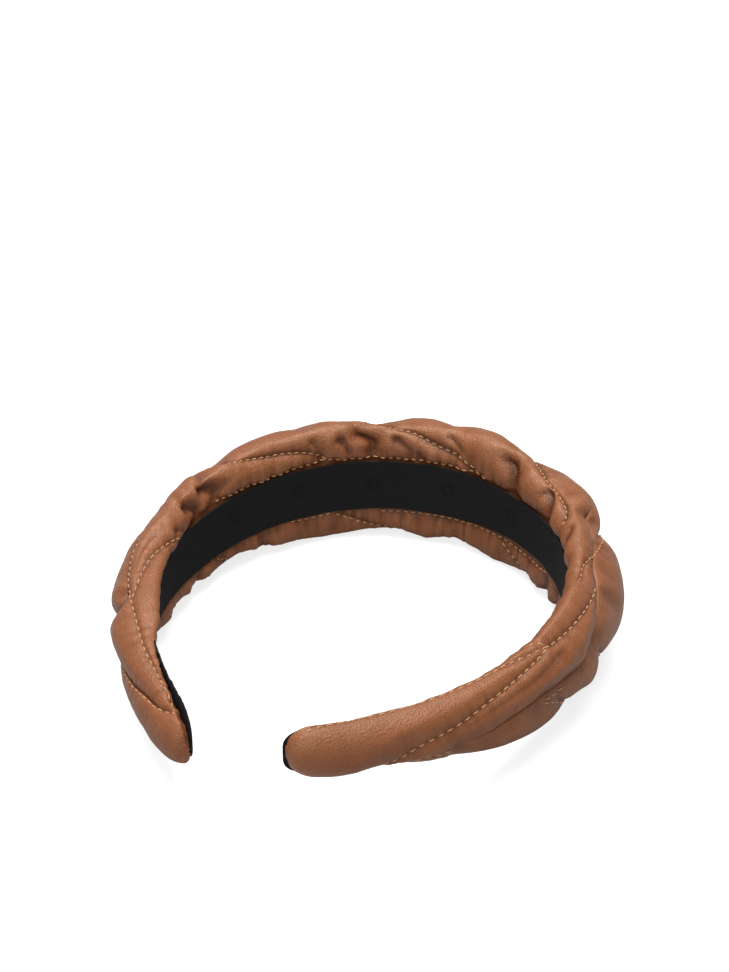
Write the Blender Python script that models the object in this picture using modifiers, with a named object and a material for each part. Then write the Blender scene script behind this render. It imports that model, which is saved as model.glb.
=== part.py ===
"""Padded leather headband, lying on its side.

The hoop's plane is XY, the crown is at +Y, the two tips point to -Y, and the band's width runs along Z. The origin is
at the bottom centre of the whole object. A sprung plastic core carries foam and wadding inside a quilted leather cover,
and a ribbon bonded to the inner face hides the cover's turned-in edges. The hoop springs open about its crown, so every
piece that runs through the crown is in two halves, with a slit where the core bends.

Every point of the object is given by three distances in millimetres: how far along the inner face from the crown
(positive to the right), how far outward from the ribbon's inner face, and how far above the middle of the band.
"""

import math

import bmesh
import bpy
from mathutils import Matrix, Vector

MM = 0.001

# The hoop: arc length of the inner face from tip to tip, and how sharply it bends, in radians per metre, at equal
# steps from the crown to a tip. The tips straighten and flare out a little.
HOOP_ARC = 374.0
HOOP_BEND = (19.9, 16.9, 14.4, 13.0, 10.7, -3.3)
HOOP_STEPS = 187
HALF_ARC = HOOP_ARC / 2
STEP = HALF_ARC / HOOP_STEPS
TIP_WARP = 4.5  # the right tip stands this far above the middle plane, and the left tip this far below

# The band: width along Z and thickness outward, at the crown and at the tips. The width would fall to TAPERED_WIDTH at
# the tips, but stops falling where it comes down to TIP_WIDTH.
CROWN_WIDTH = 37.5
TIP_WIDTH = 15.8
TAPERED_WIDTH = 11.2
WIDTH_TAPER = 1.64
CROWN_THICKNESS = 17.4
TIP_THICKNESS = 6.65
THICKNESS_TAPER = 1.54
CROWN_PLATEAU = 10.0  # the width and thickness stay constant this far either side of the crown
DOME_POWER = 0.75  # 1 is an ellipse, smaller is squarer
TIP_DOME_POWER = 1.0  # the tips are the flatter, rounder part
DOME_CHANGE = (115.0, 160.0)  # arc lengths from the crown between which the dome changes from one to the other
DOME_ANGLE = 78.0  # the dome runs this many degrees round from the middle, down to a flat side wall
DOME_PIECES = 3
SLIT = 1.4

# The layers, from the inside outward.
RIBBON_CROWN_WIDTH = 17.9
RIBBON_TIP_WIDTH = 15.4
RIBBON_THICKNESS = 0.5
GLUE_LEVEL = 0.75
GLUE_THICKNESS = 0.2
GLUE_INSET = 1.2
TURN_IN_LEVEL = 1.2
LEATHER_THICKNESS = 0.9
STRIP_LEVEL = 0.4
CORNER = 1.6
SIDE_WALL = 0.3  # least height of the flat side wall
CORE_LEVEL = 2.4
CORE_THICKNESS = 1.2
CORE_CROWN_WIDTH = 22.0
CORE_TIP_WIDTH = 6.6
FOAM_LEVEL = 3.9
WADDING_INSET = 1.3
WADDING_THICKNESS = 1.7
FOAM_INSET = 3.5

# Where each layer ends, as an arc length from the crown.
WADDING_END = 152.0
FOAM_END = 142.0
CORE_END = 182.0
GLUE_END = 184.0

STATION_SPACING = 10.0
# Rounding of a tip in plan: distance from the end, share of the width, share of the thickness.
TIP_ROUNDING = ((6.0, 1.0, 1.0), (3.2, 0.94, 0.97), (1.2, 0.82, 0.9), (0.0, 0.62, 0.76))
STRAP_ROUNDING = ((3.0, 1.0, 1.0), (0.9, 0.9, 1.0), (0.0, 0.7, 1.0))

THREAD_RADIUS = 0.25
THREAD_CLEARANCE = 0.4
STRIP_CLEARANCE = 0.5  # more inside the hoop, where the leather's flat facets bow towards the thread
THREAD_SPACING = 5.0  # greatest distance between a thread's points, along the hoop
GIRTH_SPACING = 0.09  # and round the band
CORNER_GIRTH = 1.1
RIBBON_GIRTH = 1.5

# The quilting seams of each half. A seam is a list of (arc length from the crown, girth). The girth is 0 along the
# middle of the outer face, 1 at the upper edge of the band and 1.5 where the leather meets the ribbon above it. It is
# negative in the same way below the middle.
RIGHT_SEAMS = {
    "tip_edge": ((80, 0.58), (89, 0.58), (100, 0.63), (110, 0.70), (120, 0.84), (131, 0.96), (147, 0.99), (164, 0.99),
                 (173, 0.95), (182, 0.77)),
    "diagonal": ((113, 0.62), (121, 0.57), (132, 0.43), (144, 0.20), (153, 0.03), (159, -0.25), (163, -0.6)),
    "underside": ((157, -0.50), (144, -0.35), (130, -0.15), (116, -0.03), (108, 0.0)),
    "lower_branch": ((113, -0.12), (108, -0.3), (98, -0.65), (88, -0.95)),
    "lower_back": ((84, -0.75), (74, -0.5), (60, -0.55), (46, -0.78)),
    "shoulder": ((83, 0.89), (74, 0.76), (65, 0.58), (52, 0.22), (38, -0.2), (22, -0.3), (4, 0.05)),
    "upper_shoulder": ((14, 0.3), (25, 0.67), (42, 0.97), (57, 1.14)),
    "ribbon_edge": ((1.5, 1.40), (7, 1.40), (14, 1.40)),
    "inner_strip": ((1.5, -1.38), (11, -1.40), (18, -1.36), (34, -1.40)),
    "inner_branch": ((21, -1.30), (27, -1.17), (31, -1.09)),
}
LEFT_SEAMS = {
    "tip_edge": ((-100, 1.36), (-113, 1.02), (-122, 0.91), (-132, 0.70), (-141, 0.75), (-152, 0.77), (-164, 0.82),
                 (-174, 0.88)),
    "outer": ((-118, 0.49), (-106, 0.43), (-96, 0.46), (-84, 0.2), (-70, -0.2), (-52, -0.35), (-34, -0.1)),
    "tip_corner": ((-146, -0.25), (-156, 0.0), (-165, 0.25), (-172, 0.42), (-178, 0.62)),
    "upper_crown": ((-40, 1.33), (-54, 1.17), (-66, 0.93), (-74, 0.56), (-78, 0.25)),
    "ribbon_edge": ((-78, 1.38), (-64, 1.40), (-50, 1.40), (-38, 1.34), (-25, 1.40), (-12, 1.42), (-1.5, 1.42)),
    "crest": ((-28, 0.45), (-18, 0.84), (-9, 1.10), (-1.5, 1.26)),
    "inner_strip": ((-48, -1.38), (-40, -1.40), (-33, -1.38), (-26, -1.22), (-20, -1.09)),
    "inner_crown": ((-22, -1.38), (-14, -1.38), (-1.5, -1.36)),
    "inner_lower": ((-82, -1.38), (-67, -1.22), (-58, -1.08), (-46, -0.78), (-36, -0.6)),
}


# Stations along one half of the hoop

def stations(end):
    """Arc lengths from the slit to an end, evenly spaced beyond the crown's plateau."""
    count = math.ceil((end - CROWN_PLATEAU) / STATION_SPACING)
    spacing = (end - CROWN_PLATEAU) / count
    return [SLIT / 2] + [CROWN_PLATEAU + i * spacing for i in range(count + 1)]


def rounded_stations(end, rounding):
    """Stations with their width and thickness shares, closing to a rounded end."""
    plain = [(s, 1.0, 1.0) for s in stations(end - rounding[0][0])[:-1]]
    return plain + [(end - distance, width, thickness) for distance, width, thickness in rounding]


# The hoop and the one mapping that places every point

def bend_at(arc):
    """Curvature in radians per millimetre at an arc length from the crown."""
    position = arc / HALF_ARC * (len(HOOP_BEND) - 1)
    i = min(int(position), len(HOOP_BEND) - 2)
    share = position - i
    return (HOOP_BEND[i] * (1 - share) + HOOP_BEND[i + 1] * share) * MM


def trace_half_hoop():
    """Walks the inner face from the crown to the right tip: (x, y, heading) after each step."""
    trace = [(0.0, 0.0, 0.0)]
    for i in range(HOOP_STEPS):
        x, y, heading = trace[-1]
        turn = bend_at((i + 0.5) * STEP) * STEP
        middle = heading + turn / 2
        trace.append((x + STEP * math.cos(middle), y - STEP * math.sin(middle), heading + turn))
    return trace


HALF_HOOP = trace_half_hoop()


def hoop_at(s):
    """The inner face's point and outward direction at s, as two plane vectors."""
    position = min(abs(s) / STEP, HOOP_STEPS - 1e-9)
    i = int(position)
    before, after = HALF_HOOP[i], HALF_HOOP[i + 1]
    x, y, heading = (a + (b - a) * (position - i) for a, b in zip(before, after))
    side = math.copysign(1, s)
    return (side * x, y), (side * math.sin(heading), math.cos(heading))


def lowest_point():
    """The lowest Y of the leather, which is on the outer face of a tip."""
    lows = []
    for s, _, thickness_share in rounded_stations(HALF_ARC, TIP_ROUNDING):
        point, outward = hoop_at(s)
        lows.append(point[1] + outward[1] * band_thickness(s) * thickness_share)
    return min(lows)


def taper(s, crown, tip, power):
    """A size that falls from its crown value to its tip value."""
    share = max(0.0, abs(s) - CROWN_PLATEAU) / (HALF_ARC - CROWN_PLATEAU)
    return tip + (crown - tip) * (1 - share ** power)


def band_half_width(s):
    return max(TIP_WIDTH, taper(s, CROWN_WIDTH, TAPERED_WIDTH, WIDTH_TAPER)) / 2


def band_thickness(s):
    return taper(s, CROWN_THICKNESS, TIP_THICKNESS, THICKNESS_TAPER)


def dome_power(s):
    share = (abs(s) - DOME_CHANGE[0]) / (DOME_CHANGE[1] - DOME_CHANGE[0])
    return DOME_POWER + (TIP_DOME_POWER - DOME_POWER) * min(1.0, max(0.0, share))


def ribbon_half_width(s):
    return taper(s, RIBBON_CROWN_WIDTH, RIBBON_TIP_WIDTH, 3) / 2


def warp(s):
    return TIP_WARP * (s / HALF_ARC) ** 3


CROWN_Y = -(CROWN_THICKNESS + lowest_point()) / 2
MIDDLE_Z = CROWN_WIDTH / 2


def place(s, offset, rise):
    """World position, in metres, of a point given in the headband's own three distances."""
    point, outward = hoop_at(s)
    x = point[0] + outward[0] * offset
    y = point[1] + outward[1] * offset + CROWN_Y
    return Vector((x, y, MIDDLE_Z + rise + warp(s))) * MM


HINGE = place(0.0, CROWN_THICKNESS, 0.0)


# Cross sections: lists of (offset, rise) from the lower side of the band to the upper

def mirrored(upper):
    """The whole section, from its upper half, which starts on the middle of the outer face."""
    lower = [(offset, -rise) for offset, rise in reversed(upper[1:])]
    return lower + upper


def dome_point(half_width, top, power, degrees):
    """A point of a crowned section, by its angle round from the middle of the outer face."""
    angle = math.radians(min(degrees, 90))
    rise = half_width * (math.sin(angle) / math.sin(math.radians(DOME_ANGLE))) ** power
    return top * max(0.0, math.cos(angle)) ** power, min(rise, half_width)


def dome(half_width, top, power, level):
    """Upper half of a crowned section, down to its side wall or to a level that it stands on."""
    standing = math.degrees(math.acos((level / top) ** (1 / power)))
    last = min(DOME_ANGLE, standing)
    return [dome_point(half_width, top, power, last * i / DOME_PIECES) for i in range(DOME_PIECES + 1)]


def strip_level(s):
    """Level of the leather beside the ribbon, which sinks behind the ribbon where the band is the narrower."""
    margin = band_half_width(s) - ribbon_half_width(s)
    share = min(1.0, max(0.0, (margin - 1) / 3))
    return TURN_IN_LEVEL + (STRIP_LEVEL - TURN_IN_LEVEL) * share


def cover_section(s, width_share=1.0, thickness_share=1.0):
    """The leather's outer face: dome, side wall, rounded corner, strip beside the ribbon, and turned-in edge."""
    level = strip_level(s)
    corner = min(CORNER, 0.28 * band_half_width(s) * width_share)
    half, top = band_half_width(s) * width_share, band_thickness(s) * thickness_share
    upper = dome(half, top, dome_power(s), level + corner + SIDE_WALL)
    wall = upper[-1][1]
    beside_ribbon = min(ribbon_half_width(s) + 0.6, wall - 1.3 * corner)
    under_ribbon = min(ribbon_half_width(s) - 0.2, wall - 1.8 * corner)
    upper.append((level + corner, wall))
    upper.append((level, wall - corner))
    upper.append((level, beside_ribbon))
    upper.append((TURN_IN_LEVEL, under_ribbon))
    upper.append((TURN_IN_LEVEL, under_ribbon * 0.35))
    return mirrored(upper)


def padding_section(s, inset):
    """A crowned section inside the leather, standing on the foam's level."""
    return mirrored(dome(band_half_width(s) - inset, band_thickness(s) - inset, dome_power(s), FOAM_LEVEL))


def strap_section(half_width, level):
    return [(level, -half_width), (level, half_width)]


# Surfaces lofted over the stations of one half

def loft(name, rings, collection):
    """A surface through rings of world points, with its faces outward, as a new object with an editable bmesh."""
    mesh = bpy.data.meshes.new(name)
    shape = bmesh.new()
    grid = [[shape.verts.new(point) for point in ring] for ring in rings]
    for ring, following in zip(grid, grid[1:]):
        for j in range(len(ring) - 1):
            shape.faces.new((ring[j], ring[j + 1], following[j + 1], following[j]))
    obj = bpy.data.objects.new(name, mesh)
    collection.objects.link(obj)
    return obj, shape, grid


def finish_mesh(obj, shape):
    shape.to_mesh(obj.data)
    shape.free()
    obj.data.shade_smooth()
    obj.data.set_sharp_from_angle(angle=math.radians(40))


def solidify(obj, thickness):
    """Thickness grows inward from the modelled face."""
    modifier = obj.modifiers.new("thickness", "SOLIDIFY")
    modifier.thickness = thickness * MM
    modifier.offset = -1
    modifier.use_even_offset = True


def rings_of(side, sections):
    """World rings in order of rising s, from (arc length, section) pairs in order from the slit to the tip."""
    rings = [[place(side * s, offset, rise) for offset, rise in section] for s, section in sections]
    return rings if side > 0 else rings[::-1]


def add_sheet(name, side, sections, thickness, collection, closed_tip=False):
    """A sheet of even thickness, open at the slit, and closed by a flat end at the tip where that is asked."""
    obj, shape, grid = loft(name, rings_of(side, sections), collection)
    if closed_tip:
        tip_ring = grid[-1] if side > 0 else grid[0][::-1]
        shape.faces.new(tip_ring)
    finish_mesh(obj, shape)
    solidify(obj, thickness)
    return obj


def add_block(name, side, sections, collection):
    """A closed solid lofted through sections whose ends are joined by a flat base."""
    obj, shape, grid = loft(name, rings_of(side, sections), collection)
    for ring, following in zip(grid, grid[1:]):
        shape.faces.new((ring[-1], ring[0], following[0], following[-1]))
    shape.faces.new(grid[0][::-1])
    shape.faces.new(grid[-1])
    finish_mesh(obj, shape)
    return obj


# The sub-parts of one half. The side is 1 for the right half and -1 for the left

def add_core_band(name, side, collection):
    """The sprung plastic strip that gives the hoop its shape."""
    sections = []
    for s, width_share, _ in rounded_stations(CORE_END, STRAP_ROUNDING):
        half_width = taper(s, CORE_CROWN_WIDTH, CORE_TIP_WIDTH, WIDTH_TAPER) / 2 * width_share
        sections.append((s, strap_section(half_width, CORE_LEVEL + CORE_THICKNESS)))
    return add_sheet(name, side, sections, CORE_THICKNESS, collection)


def add_foam_pad(name, side, collection):
    """The crescent of foam glued to the outside of the core."""
    sections = [(s, padding_section(s, FOAM_INSET)) for s in stations(FOAM_END)]
    return add_block(name, side, sections, collection)


def add_wadding(name, side, collection):
    """The soft blanket under the leather that makes the quilting puff."""
    sections = [(s, padding_section(s, WADDING_INSET)) for s in stations(WADDING_END)]
    return add_sheet(name, side, sections, WADDING_THICKNESS, collection)


def add_leather_cover(name, side, collection):
    """The leather, wrapped round the padding and turned in under the ribbon."""
    sections = []
    for s, width_share, thickness_share in rounded_stations(HALF_ARC, TIP_ROUNDING):
        sections.append((s, cover_section(s, width_share, thickness_share)))
    return add_sheet(name, side, sections, LEATHER_THICKNESS, collection, closed_tip=True)


def add_glue_film(name, side, collection):
    """The film of adhesive that bonds the ribbon to the turned-in leather."""
    sections = []
    for s, width_share, _ in rounded_stations(GLUE_END, STRAP_ROUNDING):
        half_width = (ribbon_half_width(s) - GLUE_INSET) * width_share
        sections.append((s, strap_section(half_width, GLUE_LEVEL + GLUE_THICKNESS)))
    return add_sheet(name, side, sections, GLUE_THICKNESS, collection)


def add_lining_ribbon(name, side, collection):
    """The ribbed ribbon against the hair, as wide as the leather is at the tips."""
    sections = []
    for s, width_share, _ in rounded_stations(HALF_ARC, STRAP_ROUNDING):
        half_width = ribbon_half_width(s) * width_share
        sections.append((s, strap_section(half_width, RIBBON_THICKNESS)))
    return add_sheet(name, side, sections, RIBBON_THICKNESS, collection)


# Quilting threads

def surface_point(s, girth, clearance):
    """A point above the leather's outer face, by arc length and girth."""
    half = band_half_width(s)
    level = strip_level(s)
    inset = clearance * math.tan(math.radians(22.5))
    strip = level - clearance - (STRIP_CLEARANCE - THREAD_CLEARANCE)
    wall_end = (level + CORNER - inset, half + clearance)
    strip_start = (strip, half - CORNER + inset)
    strip_end = (strip, ribbon_half_width(s))
    reach = abs(girth)
    if reach <= 1:
        offset, rise = dome_point(half + clearance, band_thickness(s) + clearance, dome_power(s), 90 * reach)
        offset = max(wall_end[0], offset)
    elif reach <= CORNER_GIRTH:
        offset, rise = between(wall_end, strip_start, (reach - 1) / (CORNER_GIRTH - 1))
    else:
        offset, rise = between(strip_start, strip_end, (reach - CORNER_GIRTH) / (RIBBON_GIRTH - CORNER_GIRTH))
    return place(s, offset, math.copysign(rise, girth))


def between(start, end, share):
    return tuple(a + (b - a) * share for a, b in zip(start, end))


def catmull(a, b, c, d, t):
    return 0.5 * (2 * b + (c - a) * t + (2 * a - 5 * b + 4 * c - d) * t ** 2 + (3 * b - a - 3 * c + d) * t ** 3)


def through(controls):
    """Closely spaced points of a smooth curve through control points, all as (arc length, girth)."""
    padded = [controls[0], *controls, controls[-1]]
    smooth = []
    for before, start, end, after in zip(padded, padded[1:], padded[2:], padded[3:]):
        along = abs(end[0] - start[0]) / THREAD_SPACING
        around = abs(end[1] - start[1]) / GIRTH_SPACING
        pieces = math.ceil(max(along, around))
        for i in range(pieces):
            smooth.append(tuple(catmull(*run, i / pieces) for run in zip(before, start, end, after)))
    return smooth + [controls[-1]]


def add_thread(name, seam, collection):
    """One run of quilting thread, lying just clear of the leather."""
    points = [surface_point(s, girth, THREAD_CLEARANCE + THREAD_RADIUS) for s, girth in through(seam)]
    curve = bpy.data.curves.new(name, "CURVE")
    curve.dimensions = "3D"
    curve.bevel_depth = THREAD_RADIUS * MM
    curve.bevel_resolution = 1
    curve.use_fill_caps = True
    spline = curve.splines.new("POLY")
    spline.points.add(len(points) - 1)
    for spot, point in zip(spline.points, points):
        spot.co = (*point, 1.0)
    obj = bpy.data.objects.new(name, curve)
    collection.objects.link(obj)
    return obj


# Materials

def material(name, colour, roughness):
    made = bpy.data.materials.new(name)
    made.use_nodes = True
    shader = made.node_tree.nodes["Principled BSDF"]
    shader.inputs["Base Color"].default_value = (*colour, 1.0)
    shader.inputs["Roughness"].default_value = roughness
    shader.inputs["Metallic"].default_value = 0.0
    return made


SUB_PARTS = (
    # name, builder, colour, roughness
    ("core_band", add_core_band, (0.62, 0.60, 0.55), 0.5),
    ("foam_pad", add_foam_pad, (0.85, 0.80, 0.62), 0.95),
    ("quilt_wadding", add_wadding, (0.88, 0.88, 0.86), 1.0),
    ("leather_cover", add_leather_cover, (0.23, 0.09, 0.05), 0.5),
    ("ribbon_glue", add_glue_film, (0.75, 0.70, 0.55), 0.4),
    ("lining_ribbon", add_lining_ribbon, (0.012, 0.012, 0.012), 0.75),
)
THREAD_COLOUR = (0.42, 0.22, 0.11)
THREAD_ROUGHNESS = 0.6


def build():
    for obj in list(bpy.data.objects):
        bpy.data.objects.remove(obj)
    collection = bpy.data.collections.new("headband")
    bpy.context.scene.collection.children.link(collection)
    crown_hinge = bpy.data.objects.new("crown_hinge", None)
    crown_hinge.location = HINGE
    collection.objects.link(crown_hinge)

    finishes = {name: material(name, colour, roughness) for name, _, colour, roughness in SUB_PARTS}
    finishes["thread"] = material("thread", THREAD_COLOUR, THREAD_ROUGHNESS)
    for side_name, side, seams in (("right", 1, RIGHT_SEAMS), ("left", -1, LEFT_SEAMS)):
        pieces = []
        for name, builder, _, _ in SUB_PARTS:
            piece = builder(f"{name}_{side_name}", side, collection)
            piece.data.materials.append(finishes[name])
            pieces.append(piece)
        for seam_name, seam in seams.items():
            thread = add_thread(f"thread_{side_name}_{seam_name}", seam, collection)
            thread.data.materials.append(finishes["thread"])
            pieces.append(thread)
        if side > 0:
            for piece in pieces:
                piece.parent = crown_hinge
                piece.matrix_parent_inverse = Matrix.Translation(-HINGE)


build()
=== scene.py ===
"""Looks for the padded leather headband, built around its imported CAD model.

Every point of the band is given, as in the CAD, by three distances in millimetres: arc length s along the
inner face from the crown (positive towards +X), offset outward from the ribbon's inner face, and rise above
the middle of the band. On the leather, girth takes the place of offset and rise: it is 0 along the middle of
the outer face, 1 at the band's upper edge, 1.5 where the leather meets the ribbon above the middle, and
negative below it. The right arm is the one on the +X side.
"""

import itertools
import math

import bpy
import numpy as np
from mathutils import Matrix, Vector
from mathutils.bvhtree import BVHTree


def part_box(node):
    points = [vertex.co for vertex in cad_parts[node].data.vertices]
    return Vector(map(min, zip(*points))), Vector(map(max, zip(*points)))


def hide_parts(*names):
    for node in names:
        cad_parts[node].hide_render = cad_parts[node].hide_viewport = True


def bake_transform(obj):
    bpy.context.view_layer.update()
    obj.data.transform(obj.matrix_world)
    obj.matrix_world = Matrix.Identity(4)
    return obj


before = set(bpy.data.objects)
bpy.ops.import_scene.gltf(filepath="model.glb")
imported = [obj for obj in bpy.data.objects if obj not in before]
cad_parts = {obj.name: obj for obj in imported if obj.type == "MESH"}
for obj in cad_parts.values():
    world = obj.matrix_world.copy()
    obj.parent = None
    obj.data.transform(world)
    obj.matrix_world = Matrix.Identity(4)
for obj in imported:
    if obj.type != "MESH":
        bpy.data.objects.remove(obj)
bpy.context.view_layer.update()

MM = 0.001

# The band's shape, the same as the CAD's
HOOP_ARC = 374.0
HOOP_BEND = (19.9, 16.9, 14.4, 13.0, 10.7, -3.3)  # thousandths of a radian for each mm, crown to tip
HALF_ARC = HOOP_ARC / 2
HOOP_STEPS = 187
TIP_WARP = 4.5
CROWN_WIDTH, TIP_WIDTH, TAPERED_WIDTH, WIDTH_TAPER = 37.5, 15.8, 11.2, 1.64
CROWN_THICKNESS, TIP_THICKNESS, THICKNESS_TAPER = 17.4, 6.65, 1.54
CROWN_PLATEAU = 10.0
DOME_POWER, TIP_DOME_POWER, DOME_ANGLE = 0.75, 1.0, 78.0
DOME_END = DOME_ANGLE / 90
DOME_CHANGE = (115.0, 160.0)
CORNER = 1.6
STRIP_LEVEL, TURN_IN_LEVEL = 0.4, 1.2
RIBBON_TIP_WIDTH, RIBBON_THICKNESS = 15.4, 0.5

# Where the real band departs from the CAD's even shape
RIBBON_CROWN_WIDTH = 17.1
RIBBON_LAP = 0.8  # of the leather over each edge of the ribbon, on the right side only
RIBBON_STATIONS = (-188, -178, -170, -150, -125, -108, -90, -70, -40, 0, 30, 60, 110)
RIBBON_WANDER = (2.6, 2.6, 1.5, 1.0, 0.6, -0.9, -2.2, -1.9, -1.2, -1.0, -0.5, 0.6, -0.9)
FLAT_MARGIN = 4.0  # the leather beside the ribbon rolls fully where it is at least this wide
TIP_CORNER, TIP_STRIP_LEVEL = 0.8, 0.55
LIP_START, LIP_END = -158, -86  # the stretch of the left arm whose upper edge swells
FULL_END = 112  # how far from the crown the lower edge is fuller
RIBBON_GIRTH, TUCK_GIRTH = 1.5, 0.2


# Smooth random fields

LATTICE_SIZE = 64


def lattice_noise(points, seed):
    """Smooth values at points, an array of one row per point, in units of one lattice cell."""
    dims = points.shape[1]
    table = np.random.default_rng(seed).uniform(-1, 1, (LATTICE_SIZE,) * dims)
    cell = np.floor(points).astype(int)
    t = points - cell
    t = t * t * (3 - 2 * t)
    total = np.zeros(len(points))
    for corner in itertools.product((0, 1), repeat=dims):
        weight = np.prod(np.where(corner, t, 1 - t), axis=1)
        total += weight * table[tuple(((cell + corner) % LATTICE_SIZE).T)]
    return total


def smoothstep(x):
    x = np.clip(x, 0, 1)
    return x * x * (3 - 2 * x)


# The hoop and the band's sections, for arrays of arc lengths

def trace_half_hoop():
    step = HALF_ARC / HOOP_STEPS
    trace = [(0.0, 0.0, 0.0)]
    for i in range(HOOP_STEPS):
        position = (i + 0.5) * step / HALF_ARC * (len(HOOP_BEND) - 1)
        turn = np.interp(position, range(len(HOOP_BEND)), HOOP_BEND) * MM * step
        x, y, heading = trace[-1]
        middle = heading + turn / 2
        trace.append((x + step * math.cos(middle), y - step * math.sin(middle), heading + turn))
    return np.array(trace).T


TRACE_ARC = np.linspace(0, HALF_ARC, HOOP_STEPS + 1)
TRACE_X, TRACE_Y, TRACE_HEADING = trace_half_hoop()
CROWN_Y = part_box("lining_ribbon_left")[1].y / MM - RIBBON_THICKNESS
MIDDLE_Z = CROWN_WIDTH / 2


def place(s, offset, rise):
    """World points in millimetres."""
    reach = np.minimum(np.abs(s), HALF_ARC)
    heading = np.interp(reach, TRACE_ARC, TRACE_HEADING)
    beyond = np.abs(s) - reach
    side = np.sign(s) + (s == 0)
    x = np.interp(reach, TRACE_ARC, TRACE_X) + beyond * np.cos(heading) + np.sin(heading) * offset
    y = np.interp(reach, TRACE_ARC, TRACE_Y) - beyond * np.sin(heading) + np.cos(heading) * offset
    z = MIDDLE_Z + rise + TIP_WARP * (s / HALF_ARC) ** 3
    return np.stack([side * x, y + CROWN_Y, z], axis=-1)


def taper(s, crown, tip, power):
    share = np.clip((np.abs(s) - CROWN_PLATEAU) / (HALF_ARC - CROWN_PLATEAU), 0, 1)
    return tip + (crown - tip) * (1 - share ** power)


def band_half_width(s):
    tapered = taper(s, CROWN_WIDTH, TAPERED_WIDTH, WIDTH_TAPER)
    return (tapered ** 12 + TIP_WIDTH ** 12) ** (1 / 12) / 2


def dome_power(s):
    share = np.clip((np.abs(s) - DOME_CHANGE[0]) / (DOME_CHANGE[1] - DOME_CHANGE[0]), 0, 1)
    return DOME_POWER + (TIP_DOME_POWER - DOME_POWER) * share


def band_thickness(s):
    return taper(s, CROWN_THICKNESS, TIP_THICKNESS, THICKNESS_TAPER)


def ribbon_half_width(s):
    """Half the width that shows between the leather's two edges."""
    lapped = RIBBON_LAP * smoothstep(s / 25) * smoothstep((150 - s) / 40)
    return taper(s, RIBBON_CROWN_WIDTH, RIBBON_TIP_WIDTH, 3) / 2 - lapped


def ribbon_centre(s):
    """How far above the band's middle the ribbon runs: it was glued in by hand, and wanders."""
    return np.interp(s, RIBBON_STATIONS, RIBBON_WANDER)


def leather_section(s, girth, width_share=1.0, thickness_share=1.0):
    """Offset and rise of the leather's outer face before quilting."""
    half = band_half_width(s) * width_share
    top = band_thickness(s) * thickness_share
    ribbon = ribbon_half_width(s)
    roomy = np.clip((half - ribbon) / FLAT_MARGIN, 0, 1)
    corner = np.minimum(TIP_CORNER + (CORNER - TIP_CORNER) * roomy, 0.28 * half)
    level = TIP_STRIP_LEVEL + (STRIP_LEVEL - TIP_STRIP_LEVEL) * roomy
    wall = level + corner
    reach = np.abs(girth)
    power = dome_power(s)
    angle = np.radians(90 * np.minimum(reach, DOME_END))
    dome_rise = half * (np.sin(angle) / math.sin(math.radians(DOME_ANGLE))) ** power
    dome_offset = ((top * np.cos(angle) ** power) ** 4 + wall ** 4) ** 0.25
    # The roll round to the ribbon is one cubic curve that bulges towards the head.
    t = np.clip((reach - DOME_END) / (RIBBON_GIRTH - DOME_END), 0, 1)
    bulge = roomy * (1 - 0.6 * smoothstep((np.abs(s) - 50) / 40))
    # On the left arm its upper edge swells over the ribbon's.
    lip = smoothstep((s - LIP_START) / 18) * smoothstep((LIP_END - s) / 14) * (girth > 0)
    edge = ribbon - 0.1 + np.sign(girth) * ribbon_centre(s) * roomy
    edge = np.minimum(edge, half - 1.1 * corner) - 0.9 * lip
    # The lower edge is fuller, and hangs towards the head.
    full = (girth < 0) * roomy * (1 - smoothstep((np.abs(s) - FULL_END) / 30))
    bulge = np.maximum(bulge, full)
    controls_offset = (dome_offset, wall - 0.4 * bulge - 2.8 * lip - 0.8 * full,
                       level - 2.2 * bulge - 4.2 * lip - 0.5 * full, 0.62 + 0.13 * roomy - 0.7 * lip)
    controls_rise = (half, half + 2.8 * full, edge + (0.46 + 0.50 * full) * (half - edge), edge)
    weights = ((1 - t) ** 3, 3 * t * (1 - t) ** 2, 3 * t ** 2 * (1 - t), t ** 3)
    roll_offset = sum(w * c for w, c in zip(weights, controls_offset))
    roll_rise = sum(w * c for w, c in zip(weights, controls_rise))
    # Past the ribbon's edge the leather is turned in behind it.
    tucked = np.clip((reach - RIBBON_GIRTH) / TUCK_GIRTH, 0, 1)
    roll_offset = roll_offset + tucked * (TURN_IN_LEVEL - roll_offset)
    roll_rise = roll_rise * (1 - 0.4 * tucked)
    offset = np.where(reach <= DOME_END, dome_offset, roll_offset)
    rise = np.where(reach <= DOME_END, dome_rise, roll_rise)
    return offset, np.sign(girth) * rise


def leather_point(s, girth):
    return place(s, *leather_section(s, girth))


def leather_normal(s, girth):
    """Outward unit normals of the unquilted leather."""
    girth = np.where(np.abs(girth) < 0.02, 0.02, girth)
    along = leather_point(s + 0.5, girth) - leather_point(s - 0.5, girth)
    around = leather_point(s, girth + 0.01) - leather_point(s, girth - 0.01)
    normal = np.cross(along, around)
    length = np.linalg.norm(normal, axis=-1, keepdims=True)
    return -normal / np.maximum(length, 1e-9)


# Quilting: seams, folds and creases on the leather

LINE_SPACING = 0.4
STITCH_PITCH, CROWN_PITCH = 2.9, 2.35
GATHERED_REACH = 75


def catmull(a, b, c, d, t):
    square = 2 * a - 5 * b + 4 * c - d
    cube = 3 * b - a - 3 * c + d
    return 0.5 * (2 * b + (c - a) * t + square * t ** 2 + cube * t ** 3)


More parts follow.
